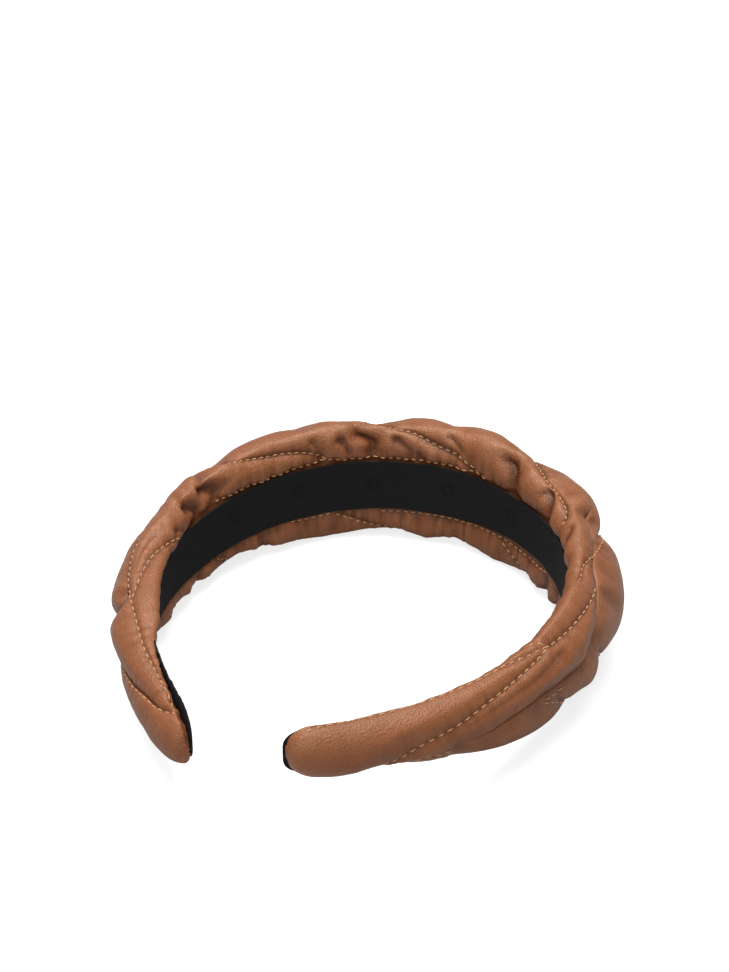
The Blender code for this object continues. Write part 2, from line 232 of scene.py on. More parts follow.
class Line:
    """A smooth curve on the leather, through (arc length, girth) points. Depth and width scale its valley,
    and gather the small folds beside it. Roll pushes the leather beside it sideways and step raises it, in
    mm, each on the side that its sign gives."""

    def __init__(self, points, stitches=True, depth=1.0, width=1.0, roll=0.0, gather=1.0, step=0.0):
        self.stitches, self.depth, self.width = stitches, depth, width
        self.roll, self.gather, self.step = roll, gather, step
        controls = np.array(points, float)
        padded = np.vstack([2 * controls[0] - controls[1], controls, 2 * controls[-1] - controls[-2]])
        t = np.linspace(0, 1, 40, endpoint=False)[:, None]
        runs = [catmull(*padded[i:i + 4], t) for i in range(len(controls) - 1)]
        fine = np.vstack(runs + [controls[-1:]])
        fine[:, 1] = np.clip(fine[:, 1], -RIBBON_GIRTH, RIBBON_GIRTH)
        spots = leather_point(fine[:, 0], fine[:, 1])
        lengths = np.concatenate([[0], np.cumsum(np.linalg.norm(np.diff(spots, axis=0), axis=1))])
        count = max(4, int(lengths[-1] / LINE_SPACING))
        self.length = lengths[-1]
        # Where the crown is gathered, the stitches lie closer together.
        self.pitch = STITCH_PITCH if np.abs(controls[:, 0]).mean() > GATHERED_REACH else CROWN_PITCH
        self.along = np.linspace(0, self.length, count)
        self.s = np.interp(self.along, lengths, fine[:, 0])
        self.girth = np.interp(self.along, lengths, fine[:, 1])
        self.points = leather_point(self.s, self.girth)
        tangent = np.gradient(self.points, axis=0)
        self.tangent = tangent / np.linalg.norm(tangent, axis=1, keepdims=True)
        self.normal = leather_normal(self.s, self.girth)
        across = np.cross(self.normal, self.tangent)
        self.across = across / np.linalg.norm(across, axis=1, keepdims=True)


def seam(*points, **looks):
    return Line(points, stitches=True, **looks)


def fold(*points, **looks):
    return Line(points, stitches=False, **looks)


QUILTING = [
    # Right arm: the corner where two seams meet, the seam along the upper edge and the diagonal seam
    seam((110, 0.69), (120, 0.81), (131, 0.91), (147, 0.94), (164, 0.94), (173, 0.90), (179, 0.80),
         (185, 0.68), depth=0.7, width=0.8, gather=0.2),
    seam((81, 0.57), (88, 0.58), (96, 0.61), (104, 0.64), (112, 0.70), depth=0.9),
    seam((111, 0.67), (121, 0.57), (132, 0.43), (144, 0.20), (153, 0.03), (158, -0.20), (162, -0.50),
         (165, -1.0), depth=0.85),
    seam((111, 0.72), (113, 0.90), (116, 0.94), depth=0.5, width=0.6),
    fold((104, 0.50), (111, 0.44), (118, 0.36), (127, 0.31), (135, 0.24), (141, 0.17), (149, 0.05),
         depth=0.55, width=1.5, gather=0.3),
    # The big fold that laps over the lower side of the right arm
    fold((47, 0.53), (54, 0.56), (61, 0.55), (66, 0.58), (74, 0.58), (79, 0.43), (86, 0.26), (92, 0.09),
         (101, -0.02), (118, -0.03), (127, -0.09), (135, -0.23), (145, -0.35), depth=2.0, width=1.1,
         roll=2.4, gather=0.4),
    seam((144, -0.36), (150, -0.39), (158, -0.55), (162, -0.62), depth=0.8),
    seam((108, -0.05), (117, -0.05), depth=0.5, width=0.7),
    seam((116, -0.07), (111, -0.19), (104, -0.5), (96, -0.85), (92, -1.05)),
    seam((91, 0.0), (84, -0.35), (76, -0.75), (70, -1.05)),
    # Right shoulder and the right of the crown
    seam((84, 0.89), (80, 0.89), (75, 0.85), (71, 0.77), (65, 0.58), (52, 0.22), (38, -0.2), (22, -0.5),
         (8, -0.85), (-1, -1.05), depth=1.2),
    seam((53, 1.24), (49, 1.05), (45, 0.99), (40, 0.95), (35, 0.91), (30, 0.80), (26, 0.71), (14, 0.3),
         (4, -0.1), (-8, -0.6), (-17, -1.0), depth=1.1),
    fold((18, 0.84), (19, 0.98), (21, 1.12), (22, 1.28), (23, 1.44), depth=1.9, gather=0, width=1.0),
    fold((35, 1.0), (39, 1.14), (42, 1.42), depth=1.6, width=0.9, gather=0),
    fold((56, 0.99), (59, 1.12), (60, 1.3), depth=0.6, width=0.7, gather=0),
    # Crown, from the upper edge across the outer face
    seam((12.5, 1.49), (9, 1.43), (2, 1.29), (-5, 1.20), (-12, 1.03), (-18, 0.86), (-28, 0.45),
         (-38, 0.0), (-50, -0.45), (-60, -0.85), (-68, -1.13), (-74, -1.27), (-80, -1.48), depth=1.15),
    seam((-78, 1.47), (-60, 1.47), (-45, 1.47), (-38, 1.44), (-30, 1.47), (-15, 1.47), (0, 1.47),
         (13, 1.47), depth=0.5, width=0.7, gather=1.6),
    seam((-38, 1.44), (-44, 1.28), (-51, 1.18), (-60, 1.08), (-66, 0.91), (-71, 0.60), (-78, 0.25),
         (-88, -0.2), (-97, -0.7), (-104, -1.05), depth=1.1),
    fold((-30, 0.86), (-28, 0.98), (-26, 1.10), (-24, 1.24), (-24, 1.44), depth=2.0, width=0.9, roll=0.6,
         gather=0),
    fold((-35, 1.04), (-33, 1.20), (-31, 1.40), depth=1.0, width=0.6, gather=0),
    fold((-44, 1.02), (-42, 1.15), (-41, 1.34), depth=0.7, width=0.7, gather=0),
    fold((-19, 1.04), (-15, 1.25), (-9, 1.44), depth=1.0, width=0.9, gather=0),
    fold((-3, 0.84), (-1, 1.0), (4, 1.22), (8, 1.36), depth=0.8, width=0.9, gather=0),
    # Left of the crown
    fold((-84, 0.86), (-82, 1.0), (-79, 1.18), (-76, 1.42), depth=2.1, width=1.2, gather=0),
    fold((-94, 0.98), (-91, 1.12), (-88, 1.28), (-85, 1.44), depth=1.8, width=1.1, gather=0),
    fold((-103, 1.05), (-100, 1.2), (-96, 1.42), depth=1.1, width=1.0, gather=0),
    # Left arm: the corner, its two upper seams and the one along the upper edge to the tip
    seam((-101, 1.36), (-106, 1.2), (-110, 1.09), (-115, 0.98), (-125, 0.85), (-134.5, 0.69), depth=0.9),
    fold((-104, 0.98), (-112, 0.82), (-122, 0.75), (-129, 0.70), depth=0.5, width=0.6, gather=0),
    seam((-133, 0.68), (-125, 0.58), (-113, 0.48), (-101, 0.45), (-90, 0.38), (-79, 0.22), depth=1.1),
    seam((-133, 0.69), (-138, 0.73), (-144, 0.76), (-155, 0.77), (-164, 0.82), (-174, 0.88), (-178, 1.0),
         depth=0.75, width=0.8),
    fold((-125, 0.62), (-128, 0.52), (-130, 0.42), (-131, 0.28), (-129, 0.0), (-123, -0.35), depth=2.2,
         width=0.8, roll=-0.7, gather=0),
    seam((-181, 0.86), (-179, 0.68), (-176, 0.51), (-172, 0.38), (-167, 0.29), (-162, 0.15), (-150, -0.1),
         (-138, -0.35), (-126, -0.7), (-118, -1.05), depth=1.5, width=0.9, roll=1.1, step=1.0),
    fold((-177, 0.64), (-171, 0.46), (-165, 0.33), (-156, 0.2), depth=0.4, width=0.6, gather=0),
    # Lower strip inside the hoop
    seam((-51, -1.48), (-44, -1.465), (-36, -1.48), depth=0.4, width=0.6),
    seam((-36, -1.47), (-31, -1.40), (-25, -1.30), (-19, -1.17), (-14, -1.04), depth=0.9),
    seam((-22, -1.47), (-12, -1.47), (4, -1.475), (14, -1.47), (24, -1.45), (32, -1.445), (40, -1.445),
         (45, -1.47), depth=0.5, width=0.6, gather=1.5),
    seam((20, -1.43), (25, -1.33), (30, -1.22), (34, -1.10), depth=0.8),
    fold((-92, -1.0), (-90, -1.2), (-88, -1.44), depth=1.2, width=0.8, gather=0.3, roll=1.0),
    fold((-57, -1.02), (-60, -1.2), (-61, -1.44), depth=1.0, width=0.8, gather=0.3),
    fold((38, -1.02), (42, -1.2), (44, -1.44), depth=1.2, width=0.7, gather=0.3),
    fold((48, -1.0), (51, -1.2), (53, -1.44), depth=2.0, width=0.7, gather=0.3, roll=0.8),
    fold((67, -1.02), (69, -1.2), (70, -1.44), depth=0.8, width=0.8, gather=0.3),
]

SEAM_DEPTH_SHARE = 0.14  # of the band's thickness
SEAM_WIDTH = 1.2
VALLEY_WIDTH = 5.6
DIMPLE = 0.09  # between two stitches
GATHER = 0.36
ROLL_WIDTH, STEP_WIDTH = 2.2, 4.5
LINE_REACH = 15.0
FAR = 99.0
BATCH = 4000  # points handled at once


def quilting_fields(points):
    """What the lines do at each point: valley depth, gathers, sideways roll (a vector), and the distance in
    mm to the nearest line that holds the leather down and to the nearest that keeps it from puffing."""
    valley = np.zeros(len(points))
    gathers = np.zeros(len(points))
    rolled = np.zeros((len(points), 3))
    raised = np.zeros(len(points))
    nearest = np.full(len(points), FAR)
    spread = np.full(len(points), FAR)
    for number, line in enumerate(QUILTING):
        low, high = line.points.min(0) - LINE_REACH, line.points.max(0) + LINE_REACH
        inside = np.nonzero(np.all((points > low) & (points < high), axis=1))[0]
        for part in np.array_split(inside, max(1, len(inside) // BATCH)):
            gaps = points[part, None, :] - line.points[None]
            squares = np.einsum("ijk,ijk->ij", gaps, gaps)
            k = squares.argmin(1)
            gap = gaps[np.arange(len(part)), k]
            distance = np.sqrt(squares[np.arange(len(part)), k])
            close = distance < LINE_REACH
            part, k, gap, distance = part[close], k[close], gap[close], distance[close]
            if not len(part):
                continue
            side = np.einsum("ij,ij->i", gap, line.across[k])
            position = line.along[k] + np.einsum("ij,ij->i", gap, line.tangent[k])
            fading, start = (6.0, 0.35) if line.stitches else (min(6.0, 0.35 * line.length), 0.12)
            ends = smoothstep(line.along[k] / fading + start)
            ends = ends * smoothstep((line.length - line.along[k]) / fading + 0.5)
            thickness = band_thickness(line.s[k])
            depth = SEAM_DEPTH_SHARE * thickness * line.depth * ends
            sharp = np.exp(-distance / (SEAM_WIDTH * line.width))
            broad = np.exp(-(distance / (VALLEY_WIDTH * line.width)) ** 1.6)
            pointed = 0.5 if line.stitches else 0.25
            dip = depth * (pointed * sharp + (1 - pointed) * broad)
            if line.stitches:
                dimples = DIMPLE * np.cos(2 * np.pi * position / line.pitch)
                dip = dip + dimples * np.exp(-distance / 0.9) * ends
            valley[part] = np.maximum(valley[part], dip)
            wave = lattice_noise(position[:, None] / 1.5, 100 + number)
            wave += 0.6 * lattice_noise(position[:, None] / 0.8, number)
            fade = np.exp(-distance / 3.2) * (1 - np.exp(-distance / 0.7))
            fullness = 0.35 + 0.65 * thickness / CROWN_THICKNESS
            gathers[part] += GATHER * line.gather * wave * fade * ends * fullness
            if line.roll:
                reach = np.maximum(0, side * math.copysign(1, line.roll)) / ROLL_WIDTH
                bump = reach * np.exp(1 - reach)
                rolled[part] -= (line.roll * ends * bump)[:, None] * line.across[k]
            if line.step:
                swelling = np.maximum(0, side * math.copysign(1, line.step)) / STEP_WIDTH
                raised[part] += abs(line.step) * ends * swelling * np.exp(1 - swelling)
            # A fold only loosely holds the leather.
            nearest[part] = np.minimum(nearest[part], distance if line.stitches else distance / 1.8)
            spread[part] = np.minimum(spread[part], distance if line.stitches else 1.6 * distance + 2.0)
    return valley, gathers + raised, rolled, nearest, spread


# Meshes and pieces

def quads_between(index):
    """Faces between neighbours in a grid of vertex numbers."""
    sides = index[:-1, :-1], index[:-1, 1:], index[1:, 1:], index[1:, :-1]
    return np.stack(sides, axis=-1).reshape(-1, 4)


def grid_faces(rows, columns):
    return quads_between(np.arange(rows * columns).reshape(rows, columns))


def tube_faces(first, rings, sides):
    """Faces of a tube with two flat ends, whose vertices follow each other ring by ring."""
    index = first + np.arange(rings * sides).reshape(rings, sides)
    wrapped = np.hstack([index, index[:, :1]])
    return quads_between(wrapped).tolist() + [index[0][::-1].tolist(), index[-1].tolist()]


def add_values(mesh, name, values):
    """Gives each vertex one value, for the materials to read."""
    mesh.attributes.new(name, "FLOAT", "POINT").data.foreach_set("value", np.asarray(values, np.float32))


def add_mesh(name, points, faces, arcs):
    """A smooth mesh from points in millimetres; each vertex keeps its arc length."""
    mesh = bpy.data.meshes.new(name)
    mesh.from_pydata((points * MM).tolist(), [], faces)
    add_values(mesh, "arc", arcs)
    mesh.shade_smooth()
    obj = bpy.data.objects.new(name, mesh)
    bpy.context.scene.collection.objects.link(obj)
    return obj


def finish_piece(obj, material, slot, *nodes):
    """Gives the piece its material, bakes its transform into the mesh, reads its vertices' arc lengths and
    hides the CAD parts that it replaces."""
    obj.data.materials.clear()
    obj.data.materials.append(material)
    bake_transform(obj)
    arcs = np.zeros(len(obj.data.vertices), np.float32)
    obj.data.attributes["arc"].data.foreach_get("value", arcs)
    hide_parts(*nodes)


def both(node):
    return f"{node}_left", f"{node}_right"


# Materials

class Nodes:
    """Short calls for building one material's nodes."""

    def __init__(self, name):
        self.material = bpy.data.materials.new(name)
        self.material.use_nodes = True
        self.tree = self.material.node_tree
        self.shader = self.tree.nodes["Principled BSDF"]

    def add(self, kind, inputs=None, **settings):
        node = self.tree.nodes.new("ShaderNode" + kind)
        for key, value in settings.items():
            setattr(node, key, value)
        self.feed(node, inputs or {})
        return node

    def feed(self, node, inputs):
        for key, value in inputs.items():
            socket = node.inputs[key]
            if isinstance(value, bpy.types.NodeSocket):
                self.tree.links.new(value, socket)
            else:
                socket.default_value = value

    def math(self, operation, a, b=0.0):
        node = self.add("Math", {0: a, 1: b}, operation=operation)
        return node.outputs[0]

    def remap(self, value, low, high, to_low, to_high):
        node = self.add("MapRange", {"Value": value, "From Min": low, "From Max": high, "To Min": to_low,
                                     "To Max": to_high})
        return node.outputs["Result"]

    def mix(self, share, a, b):
        node = self.add("Mix", data_type="RGBA")
        colours = [i for i in node.inputs if i.type == "RGBA"]
        self.feed(node, {0: share})
        for socket, value in zip(colours, (a, b)):
            if isinstance(value, bpy.types.NodeSocket):
                self.tree.links.new(value, socket)
            else:
                socket.default_value = (*value, 1.0)
        return next(o for o in node.outputs if o.type == "RGBA")

    def noise(self, scale, detail, distortion=0.0):
        """Noise with its scale in features per millimetre."""
        node = self.add("TexNoise", {"Scale": scale, "Detail": detail, "Distortion": distortion,
                                     "Vector": self.place})
        return node.outputs["Fac"]

    def attribute(self, name):
        return self.add("Attribute", attribute_name=name).outputs["Fac"]

    def bump(self, height, distance, strength, under=None):
        inputs = {"Height": height, "Distance": distance * MM, "Strength": strength}
        if under:
            inputs["Normal"] = under
        return self.add("Bump", inputs).outputs["Normal"]

    @property
    def place(self):
        """The point that is shaded, in millimetres."""
        if not hasattr(self, "_place"):
            coordinate = self.add("TexCoord").outputs["Object"]
            scaled = self.add("VectorMath", {0: coordinate}, operation="SCALE")
            scaled.inputs["Scale"].default_value = 1 / MM
            self._place = scaled.outputs[0]
        return self._place


TAN = (0.186, 0.060, 0.0215)
LIGHT_TAN = (0.232, 0.081, 0.0310)
DARK_TAN = (0.158, 0.049, 0.0170)
# Paler on ridges, partly from wear and partly a painted highlight
WORN_AND_HIGHLIT_TAN = (0.285, 0.118, 0.0540)
# Painted shade, for the hollows, folds, seams and the strip beside the ribbon
PAINTED_SHADE_BROWN = (0.052, 0.0125, 0.0032)
GRAIN_BROWN = (0.105, 0.034, 0.012)


def leather_material():
    """Tan leather, mottled and darker between its grains. Painted shade darkens its hollows, folds and the
    strip beside the ribbon; its ridges are paler, partly from wear and partly from a painted highlight.
    """
    m = Nodes("leather")
    valley = m.attribute("valley")
    broad = m.noise(0.045, 3)
    mottle = m.noise(0.5, 4)
    creases = m.noise(0.9, 6, 0.6)
    fine = m.noise(5.0, 3)
    grain = m.add("TexVoronoi", {"Scale": 1.8, "Vector": m.place, "Smoothness": 0.4, "Randomness": 1.0},
                  feature="SMOOTH_F1").outputs["Distance"]
    colour = m.mix(m.remap(broad, 0.3, 0.7, 0, 1), TAN, LIGHT_TAN)
    colour = m.mix(m.remap(mottle, 0.35, 0.7, 0, 0.32), colour, DARK_TAN)
    # Ridges paler, partly from wear and partly from a painted highlight.
    colour = m.mix(m.math("MULTIPLY", m.attribute("crest"), 0.40), colour, WORN_AND_HIGHLIT_TAN)
    # Painted shade: the valley values darken hollows, folds, seams and the strip beside the ribbon.
    colour = m.mix(m.math("MULTIPLY", valley, 0.86), colour, PAINTED_SHADE_BROWN)
    colour = m.mix(m.math("MULTIPLY", m.remap(grain, 0.25, 0.75, 0, 1), 0.22), colour, GRAIN_BROWN)
    normal = m.bump(grain, 0.20, 0.7)
    normal = m.bump(creases, 0.22, m.remap(valley, 0.0, 0.7, 0.32, 1.0), normal)
    normal = m.bump(fine, 0.03, 0.5, normal)
    dullness = m.math("ADD", mottle, m.math("MULTIPLY", fine, 0.4))
    m.feed(m.shader, {"Base Color": colour, "Normal": normal,
                      "Roughness": m.remap(dullness, 0.4, 1.1, 0.37, 0.52),
                      "Specular IOR Level": 0.40, "Specular Tint": (1.0, 0.84, 0.70, 1)})
    return m.material


TWILL_PITCH = 1.05
TWILL_SLANT = 0.14  # mm of rise for each mm along the band


def ribbon_material():
    """Black twill, with a motif that is a little darker."""
    m = Nodes("ribbon")
    weave = m.noise(3.0, 3)
    colour = m.mix(weave, (0.0070, 0.0070, 0.0071), (0.0120, 0.0120, 0.0118))
    colour = m.mix(m.math("MULTIPLY", m.attribute("motif"), 0.55), colour, (0.0035, 0.0035, 0.0035))
    threads = m.add("TexVoronoi", {"Scale": 5.0, "Vector": m.place}).outputs["Distance"]
    twill_turn = 2 * math.pi / TWILL_PITCH
    turn = m.math("ADD", m.math("MULTIPLY", m.attribute("level"), twill_turn),
                  m.math("MULTIPLY", m.attribute("arc"), twill_turn * TWILL_SLANT))
    twill = m.bump(m.math("SINE", turn), 0.06, 0.55)
    m.feed(m.shader, {"Base Color": colour, "Normal": m.bump(threads, 0.06, 0.5, twill), "Roughness": 0.8,
                      "Specular IOR Level": 0.12})
    return m.material


def thread_material():
    m = Nodes("thread")
    fibres = m.noise(6.0, 4)
    colour = m.mix(fibres, (0.34, 0.155, 0.055), (0.52, 0.27, 0.11))
    m.feed(m.shader, {"Base Color": colour, "Normal": m.bump(fibres, 0.05, 0.5), "Roughness": 0.5,
                      "Sheen Weight": 0.2})
    return m.material


def padding_material(name, colour, darker, scale, roughness):
    m = Nodes(name)
    cells = m.noise(scale, 4)
    m.feed(m.shader, {"Base Color": m.mix(cells, colour, darker), "Normal": m.bump(cells, 0.3, 0.6),
                      "Roughness": roughness})
    return m.material


# The leather cover

ROW_COUNT = 107
ROW_GAUGE = 55.0  # the arc length where the rows lie at equal distances
TUCK_ROWS = 3
COLUMN_SPACING = 0.8
TIP_ROUND = 7.0
TIP_COLUMNS = 12
CAP_RINGS = 6
CAP_BULGE = 0.8


def leather_rows():
    """Girths of the rows."""
    girths = np.linspace(-RIBBON_GIRTH, RIBBON_GIRTH, 3001)
    points = leather_point(np.full_like(girths, ROW_GAUGE), girths)
    lengths = np.concatenate([[0], np.cumsum(np.linalg.norm(np.diff(points, axis=0), axis=1))])
    rows = np.interp(np.linspace(0, lengths[-1], ROW_COUNT), lengths, girths)
    tuck = RIBBON_GIRTH + TUCK_GIRTH * np.arange(1, TUCK_ROWS + 1) / TUCK_ROWS
    return np.concatenate([-tuck[::-1], rows, tuck])


def round_tip(s, end):
    """How much of its width the band keeps near its tips, from 0 at end to 1."""
    return np.sqrt(np.clip(1 - np.clip(1 - (end - np.abs(s)) / TIP_ROUND, 0, 1) ** 2, 0, 1))


def leather_columns():
    """Arc lengths of the columns, closer together in the rounded tips."""
    plain = np.linspace(0, HALF_ARC - TIP_ROUND, int((HALF_ARC - TIP_ROUND) / COLUMN_SPACING))
    turns = np.linspace(0, np.pi / 2, TIP_COLUMNS + 1)[1:]
    half = np.concatenate([plain, HALF_ARC - TIP_ROUND * (1 - np.sin(turns))])
    return np.concatenate([-half[:0:-1], half])


CLOTH_SCALE = 0.01  # Blender's units for each mm: the cloth is simulated at ten times its size
CLOTH_FRAMES = 20
HELD_LEVELS = 10
CLOTH_CAP = 2.6  # mm that a point moves at most in the simulation
EASING_PASSES = 5


def halfway(values):
    """Twice as many rows of smooth values: the old ones and cubic in-betweens."""
    padded = np.concatenate([2 * values[:1] - values[1:2], values, 2 * values[-1:] - values[-2:-1]])
    between = (9 * (padded[1:-2] + padded[2:-1]) - padded[:-3] - padded[3:]) / 16
    result = np.empty((2 * len(values) - 1, *values.shape[1:]))
    result[::2], result[1::2] = values, between
    return result


def eased(values):
    """Each inner value blended with its four neighbours, a few times."""
    for _ in range(EASING_PASSES):
        around = (values[:-2, 1:-1] + values[2:, 1:-1] + values[1:-1, :-2] + values[1:-1, 2:]) / 4
        values = values.copy()
        values[1:-1, 1:-1] = 0.5 * values[1:-1, 1:-1] + 0.5 * around
    return values


def add_cloth(start, rows, columns, held):
    """A grid of soft leather under pressure, held by the shares in held."""
    mesh = bpy.data.meshes.new("cloth")
    mesh.from_pydata((start * CLOTH_SCALE).tolist(), [], grid_faces(rows, columns).tolist())
    obj = bpy.data.objects.new("cloth", mesh)
    bpy.context.scene.collection.objects.link(obj)
    group = obj.vertex_groups.new(name="sewn")
    level = np.round(held * HELD_LEVELS).astype(int)
    for weight in range(1, HELD_LEVELS + 1):
        group.add(np.nonzero(level == weight)[0].tolist(), weight / HELD_LEVELS, "REPLACE")
    cloth = obj.modifiers.new("cloth", "CLOTH")
    settings = cloth.settings
    settings.quality = 5
    settings.mass = 0.3
    settings.air_damping = 4
    settings.tension_stiffness = settings.compression_stiffness = 15
    settings.shear_stiffness = 8
    settings.bending_stiffness = 10
    settings.vertex_group_mass = "sewn"
    settings.shrink_min = -0.022
    settings.use_pressure = True
    settings.uniform_pressure_force = 4
    settings.effector_weights.gravity = 0
    cloth.collision_settings.use_collision = False
    cloth.point_cache.frame_end = CLOTH_FRAMES
    return obj


def settle(points, shape, sewn):
    """Cloth simulation of the leather over its padding, held where it is sewn: how far each point moves, in
    mm. Every second row and column is simulated."""
    grid = points.reshape(*shape, 3)[::2, ::2]
    held = sewn.reshape(shape)[::2, ::2].ravel()
    rows, columns = grid.shape[:2]
    start = grid.reshape(-1, 3)
    obj = add_cloth(start, rows, columns, held)
    for frame_number in range(1, CLOTH_FRAMES + 1):
        bpy.context.scene.frame_set(frame_number)
    settled = obj.evaluated_get(bpy.context.evaluated_depsgraph_get()).to_mesh()
    ends = np.empty(len(settled.vertices) * 3, np.float32)
    settled.vertices.foreach_get("co", ends)
    moved = ends.reshape(-1, 3) / CLOTH_SCALE - start
    bpy.data.objects.remove(obj)
    bpy.context.scene.frame_set(1)
    length = np.linalg.norm(moved, axis=1)
    moved *= (np.tanh(length / CLOTH_CAP) * CLOTH_CAP / np.maximum(length, 1e-6))[:, None]
    moved = halfway(eased(moved.reshape(rows, columns, 3)))
    return halfway(moved.swapaxes(0, 1)).swapaxes(0, 1).reshape(-1, 3)


CLOTH_SHARE = 1.25
PUFF_WIDTH = 8
STRIP_GIRTH = 0.5  # of the gathered strip beside the ribbon
CUT_BACK = 2.3
CALM_TIP = 14  # the quilting fades over this distance to each tip
HOLLOW_PASSES = 12


def grid_normals(grid):
    """Outward unit normals of a grid of points."""
    normals = np.cross(np.gradient(grid, axis=1), np.gradient(grid, axis=0))
    return normals / np.maximum(np.linalg.norm(normals, axis=2, keepdims=True), 1e-9)


def padding_height(points, arcs, girths, spread):
    """How far the padding pushes the leather out between the lines."""
    size = band_thickness(arcs) / CROWN_THICKNESS
    arm = 0.6 * smoothstep((np.abs(arcs) - 85) / 25)
    puff = (size + arm) * (1 - np.exp(-(spread / PUFF_WIDTH) ** 2))
    lumps = 0.22 * lattice_noise(points / 11, 1) + 0.08 * lattice_noise(points / 4.5, 2)
    return puff * smoothstep((RIBBON_GIRTH - np.abs(girths)) / 0.25) + lumps * size


def sewn_down(arcs, girths, nearest):
    """1 where the leather is held: along the lines, the ribbon's edges and the tips. 0 where it is free."""
    sewn = np.maximum(smoothstep((2.4 - nearest) / 1.5), smoothstep((np.abs(girths) - 1.38) / 0.08))
    return np.maximum(sewn, smoothstep((np.abs(arcs) - HALF_ARC + 12) / 8))


def edge_noise(arcs, lane, pitch, seed):
    """Smooth values along the band's edges; each lane has its own."""
    return lattice_noise(np.stack([arcs / pitch, lane], axis=1), seed)


def edge_gathers(arcs, girths, size):
    """Gathers square to the ribbon's two edges, finer below it than above."""
    strip = np.clip((RIBBON_GIRTH - np.abs(girths)) / STRIP_GIRTH, 0, 1)
    side = np.sign(girths)
    lower = girths < 0
    wave = edge_noise(arcs, side * 3 + 0.6 * strip, 1.7, 7)
    wave += 0.6 * edge_noise(arcs, side * 5 + 0.3 * strip, 4.2, 8)
    fine = edge_noise(arcs, side * 7 + 1.2 * strip, 0.95, 12)
    height = np.where(lower, 0.13, 0.34) * wave + np.where(lower, 0.40, 0.16) * fine
    return height * size * np.exp(-((strip - 0.35) / np.where(lower, 0.33, 0.55)) ** 2) * (strip > 0)


def edge_sag(arcs, girths, size):
    """How far the leather sags over the ribbon's edge, here and there."""
    strip = np.clip((RIBBON_GIRTH - np.abs(girths)) / STRIP_GIRTH, 0, 1)
    sagging = smoothstep(0.5 + edge_noise(arcs, np.sign(girths) * 9, 8.0, 9))
    return size * sagging * np.exp(-((strip - 0.22) / 0.28) ** 2)


def cut_back(arcs, girths):
    """The raw edge on the inner side of the left tip, trimmed short and uneven."""
    ragged = 0.75 + 0.5 * edge_noise(arcs, 0 * arcs, 1.6, 31) + 0.3 * edge_noise(arcs, 0 * arcs, 0.7, 32)
    share = smoothstep((-171.5 - arcs) / 1.5) * smoothstep((np.abs(girths) - 0.72) / 0.25) * (girths > 0)
    return CUT_BACK * ragged * share


def hollowness(grid):
    """How far each point lies below the average of its surroundings, in mm."""
    smooth = grid
    for _ in range(HOLLOW_PASSES):
        padded = np.pad(smooth, ((1, 1), (1, 1), (0, 0)), "edge")
        around = padded[:-2, 1:-1] + padded[2:, 1:-1] + padded[1:-1, :-2] + padded[1:-1, 2:]
        smooth = (around + 2 * padded[1:-1, 1:-1]) / 6
    return np.einsum("ijk,ijk->ij", smooth - grid, grid_normals(grid)).ravel()


def add_caps(points, arcs, faces, columns, rows):
    """Closes each tip with rings that shrink to a point, bulging a little."""
    points, arcs = [points], [arcs]
    total = len(points[0])
    for end, sign in ((0, -1), (columns - 1, 1)):
        ring = points[0][end * rows:(end + 1) * rows]
        inner = points[0][(end - 2 * sign) * rows:(end - 2 * sign + 1) * rows]
        outward = (ring - inner).mean(0)
        outward /= np.linalg.norm(outward)
        centre = (ring[0] + ring[-1]) / 2 * 0.35 + ring.mean(0) * 0.65
        before = np.arange(end * rows, (end + 1) * rows)
        for i in range(1, CAP_RINGS + 1):
            angle = i / CAP_RINGS * np.pi / 2
            shrunk = (ring - centre) * max(0.03, math.cos(angle))
            points.append(centre + shrunk + outward * CAP_BULGE * math.sin(angle))
            arcs.append(np.full(rows, arcs[0][end * rows]))
            now = np.arange(total, total + rows)
            total += rows
            quads = quads_between(np.stack([before, now]))
            faces.extend((quads if sign > 0 else quads[:, ::-1]).tolist())
            before = now
        faces.append(before[::sign].tolist())
    return np.vstack(points), np.concatenate(arcs)


